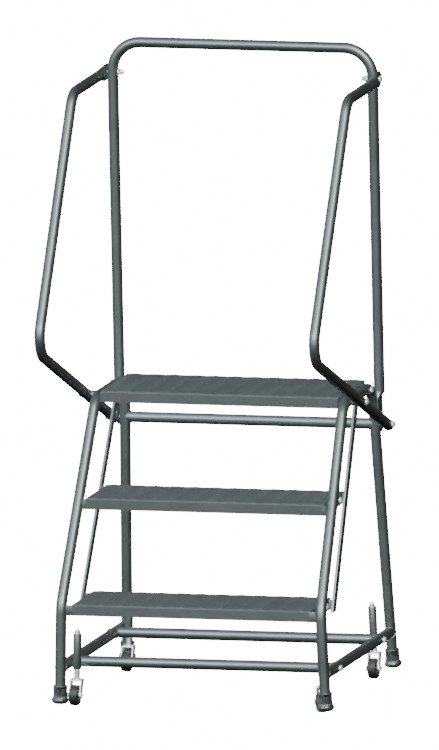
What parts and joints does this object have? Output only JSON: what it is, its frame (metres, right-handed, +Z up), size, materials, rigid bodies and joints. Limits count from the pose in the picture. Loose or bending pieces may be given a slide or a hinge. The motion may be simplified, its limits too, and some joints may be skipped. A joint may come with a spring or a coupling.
{
  "type": "mobile ladder stand",
  "caption": "Tubular steel ladder stand with ribbed treads, side handrails, a rear guard hoop, rubber feet and spring-loaded swivel casters.",
  "frame": {"origin": "on the floor under the middle of the stand's bounding box", "axes": "+X is the climber's right, +Y is the rear of the stand, +Z is up; the climber comes up from -Y"},
  "size_m": [0.7398, 0.729, 1.5766],
  "materials": {
    "frame_paint": "grey powder coat, satin",
    "tread_paint": "grey powder coat over pressed sheet, satin",
    "zinc_fastener": "bright zinc plate",
    "zinc_pressing": "zinc plated pressed steel",
    "zinc_turned": "zinc plated turned steel",
    "spring_steel": "bare spring steel, oiled",
    "foot_rubber": "grey moulded rubber",
    "tyre": "dark grey rubber tread",
    "hub_plastic": "dark moulded plastic",
    "plug_plastic": "black push-in plug"
  },
  "bodies": {
    "root": {"side_frame_left": "frame_paint", "side_frame_right": "frame_paint", "base_rail_left": "frame_paint", "base_rail_right": "frame_paint", "front_base_crossbar": "frame_paint", "rear_base_crossbar": "frame_paint", "rear_upper_crossbar": "frame_paint", "strut_left": "frame_paint", "strut_right": "frame_paint", "step_brackets_left": "frame_paint", "step_brackets_right": "frame_paint", "caster_sockets": "frame_paint", "platform_tread": "tread_paint", "upper_step": "tread_paint", "lower_step": "tread_paint", "guard_hoop": "frame_paint", "handrail_left": "frame_paint", "handrail_right": "frame_paint", "handrail_spacers": "zinc_fastener", "foot_front_left": "foot_rubber", "foot_front_right": "foot_rubber", "foot_rear_left": "foot_rubber", "foot_rear_right": "foot_rubber", "handrail_end_plugs": "plug_plastic", "handrail_top_bolts": "zinc_fastener", "handrail_top_nuts": "zinc_fastener", "handrail_front_bolts": "zinc_fastener", "handrail_rear_bolts": "zinc_fastener", "platform_bolts": "zinc_fastener", "step_bolts": "zinc_fastener", "step_nuts": "zinc_fastener", "crossbar_bolts": "zinc_fastener"},
    "stem_front_left": {"stem_front_left": "zinc_turned", "stem_nut_front_left": "zinc_turned", "spring_front_left": "spring_steel"},
    "fork_front_left": {"fork_front_left": "zinc_pressing", "axle_front_left": "zinc_turned"},
    "wheel_front_left": {"hub_front_left": "hub_plastic", "tyre_front_left": "tyre"},
    "stem_front_right": {"stem_front_right": "zinc_turned", "stem_nut_front_right": "zinc_turned", "spring_front_right": "spring_steel"},
    "fork_front_right": {"fork_front_right": "zinc_pressing", "axle_front_right": "zinc_turned"},
    "wheel_front_right": {"hub_front_right": "hub_plastic", "tyre_front_right": "tyre"},
    "stem_rear_left": {"stem_rear_left": "zinc_turned", "stem_nut_rear_left": "zinc_turned", "spring_rear_left": "spring_steel"},
    "fork_rear_left": {"fork_rear_left": "zinc_pressing", "axle_rear_left": "zinc_turned"},
    "wheel_rear_left": {"hub_rear_left": "hub_plastic", "tyre_rear_left": "tyre"},
    "stem_rear_right": {"stem_rear_right": "zinc_turned", "stem_nut_rear_right": "zinc_turned", "spring_rear_right": "spring_steel"},
    "fork_rear_right": {"fork_rear_right": "zinc_pressing", "axle_rear_right": "zinc_turned"},
    "wheel_rear_right": {"hub_rear_right": "hub_plastic", "tyre_rear_right": "tyre"}
  },
  "joints": [
    {"name": "caster_front_left_spring", "type": "slide", "parent": "root", "child": "stem_front_left", "axis": [0.0332, 0, 0.9995], "range_m": [0, 0.016], "stiffness_N_per_m": 4500, "springref_m": -0.02, "deforming": ["spring_front_left"]},
    {"name": "caster_front_left_swivel", "type": "hinge", "parent": "stem_front_left", "child": "fork_front_left", "pos_m": [-0.31315, -0.20852, 0.06097], "axis": [0.0332, 0, 0.9995], "continuous": true},
    {"name": "caster_front_left_wheel", "type": "hinge", "parent": "fork_front_left", "child": "wheel_front_left", "pos_m": [-0.31432, -0.22352, 0.02562], "axis": [0.9995, 0, -0.0332], "continuous": true},
    {"name": "caster_front_right_spring", "type": "slide", "parent": "root", "child": "stem_front_right", "axis": [-0.0332, 0, 0.9995], "range_m": [0, 0.016], "stiffness_N_per_m": 4500, "springref_m": -0.02, "deforming": ["spring_front_right"]},
    {"name": "caster_front_right_swivel", "type": "hinge", "parent": "stem_front_right", "child": "fork_front_right", "pos_m": [0.31315, -0.20852, 0.06097], "axis": [-0.0332, 0, 0.9995], "continuous": true},
    {"name": "caster_front_right_wheel", "type": "hinge", "parent": "fork_front_right", "child": "wheel_front_right", "pos_m": [0.31432, -0.22352, 0.02562], "axis": [0.9995, 0, 0.0332], "continuous": true},
    {"name": "caster_rear_left_spring", "type": "slide", "parent": "root", "child": "stem_rear_left", "axis": [0.0332, 0, 0.9995], "range_m": [0, 0.016], "stiffness_N_per_m": 4500, "springref_m": -0.02, "deforming": ["spring_rear_left"]},
    {"name": "caster_rear_left_swivel", "type": "hinge", "parent": "stem_rear_left", "child": "fork_rear_left", "pos_m": [-0.31315, 0.26648, 0.06097], "axis": [0.0332, 0, 0.9995], "continuous": true},
    {"name": "caster_rear_left_wheel", "type": "hinge", "parent": "fork_rear_left", "child": "wheel_rear_left", "pos_m": [-0.31432, 0.25148, 0.02562], "axis": [0.9995, 0, -0.0332], "continuous": true},
    {"name": "caster_rear_right_spring", "type": "slide", "parent": "root", "child": "stem_rear_right", "axis": [-0.0332, 0, 0.9995], "range_m": [0, 0.016], "stiffness_N_per_m": 4500, "springref_m": -0.02, "deforming": ["spring_rear_right"]},
    {"name": "caster_rear_right_swivel", "type": "hinge", "parent": "stem_rear_right", "child": "fork_rear_right", "pos_m": [0.31315, 0.26648, 0.06097], "axis": [-0.0332, 0, 0.9995], "continuous": true},
    {"name": "caster_rear_right_wheel", "type": "hinge", "parent": "fork_rear_right", "child": "wheel_rear_right", "pos_m": [0.31432, 0.25148, 0.02562], "axis": [0.9995, 0, 0.0332], "continuous": true}
  ]
}
